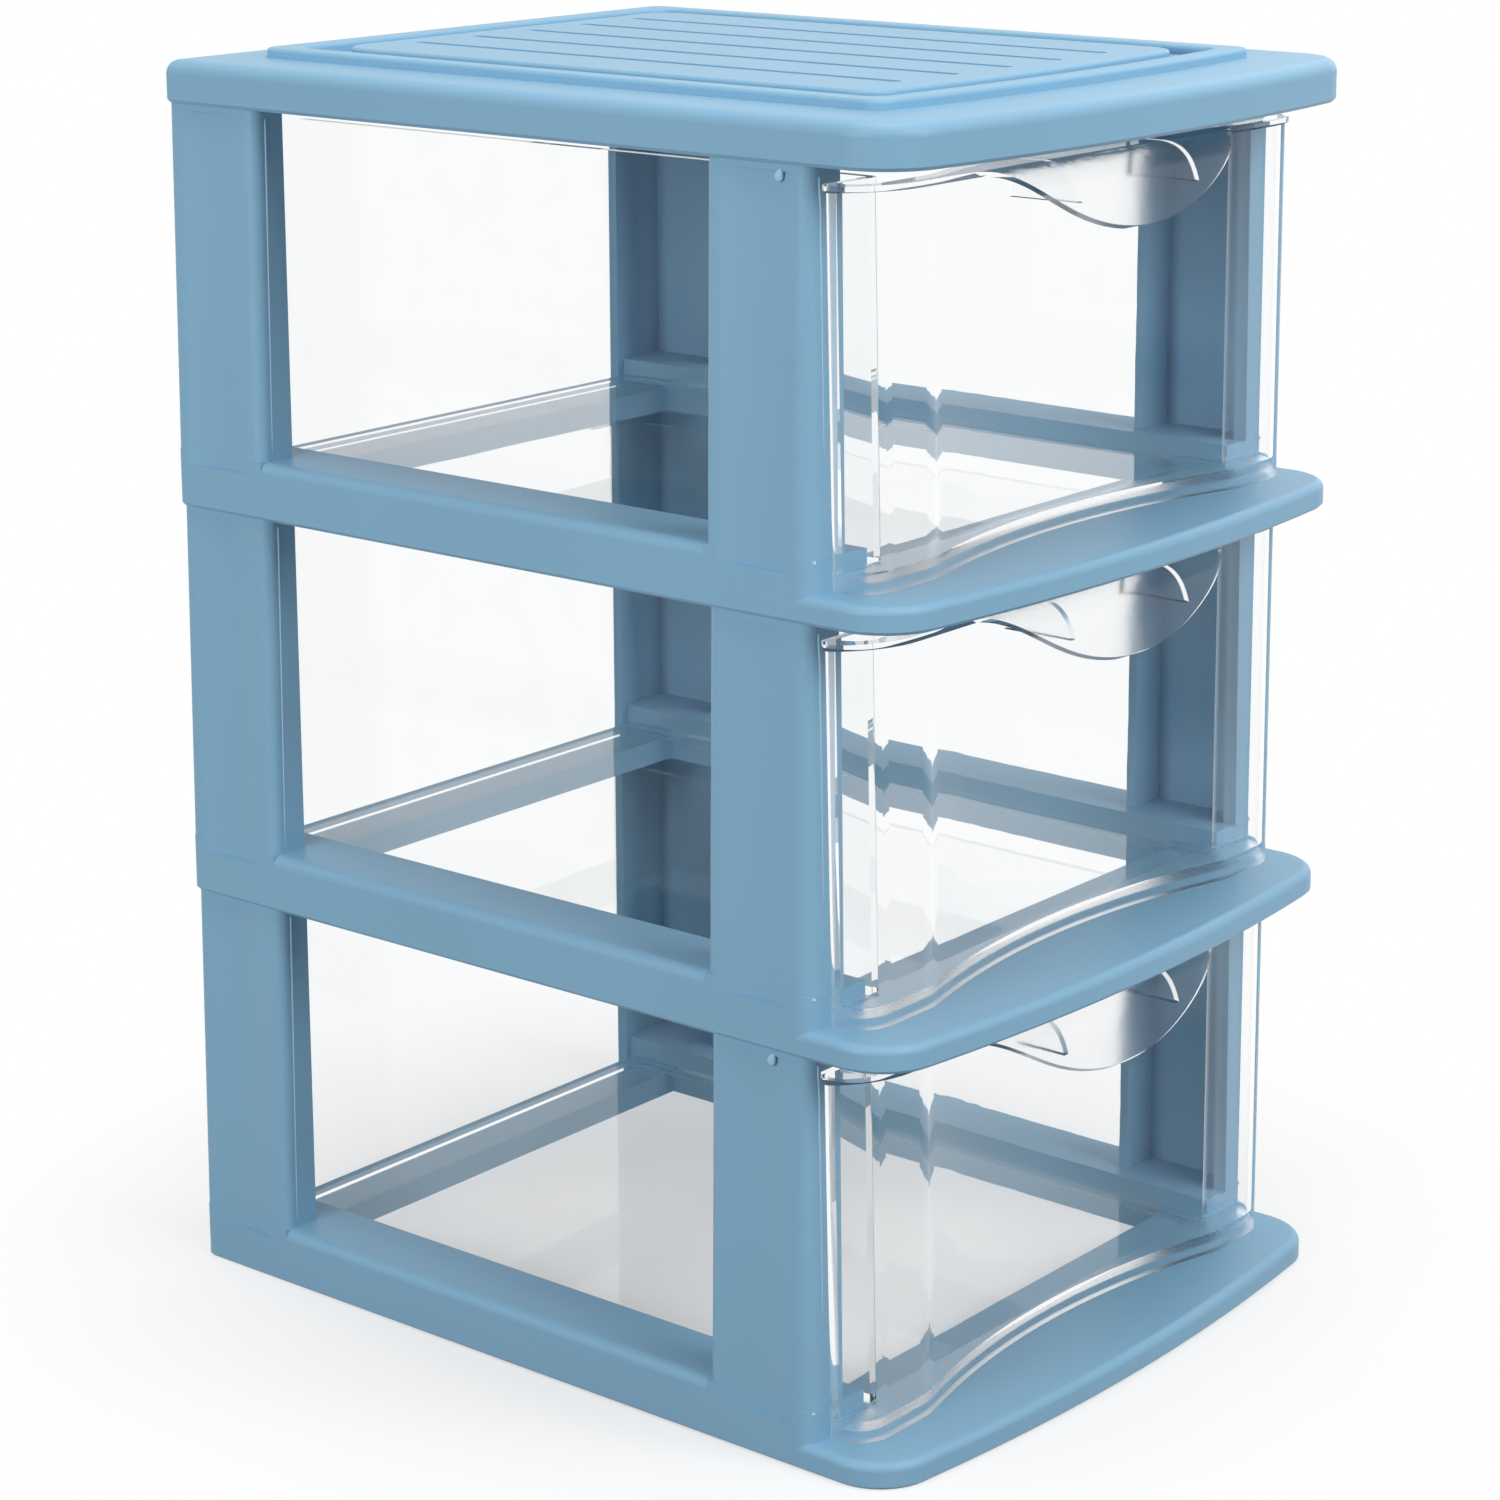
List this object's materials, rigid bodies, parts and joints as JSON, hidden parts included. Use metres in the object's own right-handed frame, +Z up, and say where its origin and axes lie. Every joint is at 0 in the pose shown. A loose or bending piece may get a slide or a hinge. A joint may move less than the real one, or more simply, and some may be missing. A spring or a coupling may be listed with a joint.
{
  "type": "drawer organizer",
  "caption": "Stackable desktop drawer organizer: open-sided frame tiers with corner posts, clear sliding drawers with curved finger pulls, and a grooved top cover.",
  "frame": {"origin": "middle of the footprint, on the surface that the organizer stands on", "axes": "+Z up, -Y is the front that the drawers pull out of, X runs across the front"},
  "size_m": [0.173, 0.215, 0.2934],
  "materials": {
    "blue_plastic": "satin moulded polypropylene",
    "clear_plastic": "clear glossy moulded polystyrene"
  },
  "bodies": {
    "frame": {"lower_tier_frame": "blue_plastic", "middle_tier_frame": "blue_plastic", "upper_tier_frame": "blue_plastic", "top_cover": "blue_plastic"},
    "lower_drawer_body": {"lower_drawer": "clear_plastic"},
    "middle_drawer_body": {"middle_drawer": "clear_plastic"},
    "upper_drawer_body": {"upper_drawer": "clear_plastic"}
  },
  "joints": [
    {"name": "lower_drawer_slide", "type": "slide", "parent": "frame", "child": "lower_drawer_body", "axis": [0, -1, 0], "range_m": [0, 0.14]},
    {"name": "middle_drawer_slide", "type": "slide", "parent": "frame", "child": "middle_drawer_body", "axis": [0, -1, 0], "range_m": [0, 0.14]},
    {"name": "upper_drawer_slide", "type": "slide", "parent": "frame", "child": "upper_drawer_body", "axis": [0, -1, 0], "range_m": [0, 0.14]}
  ]
}
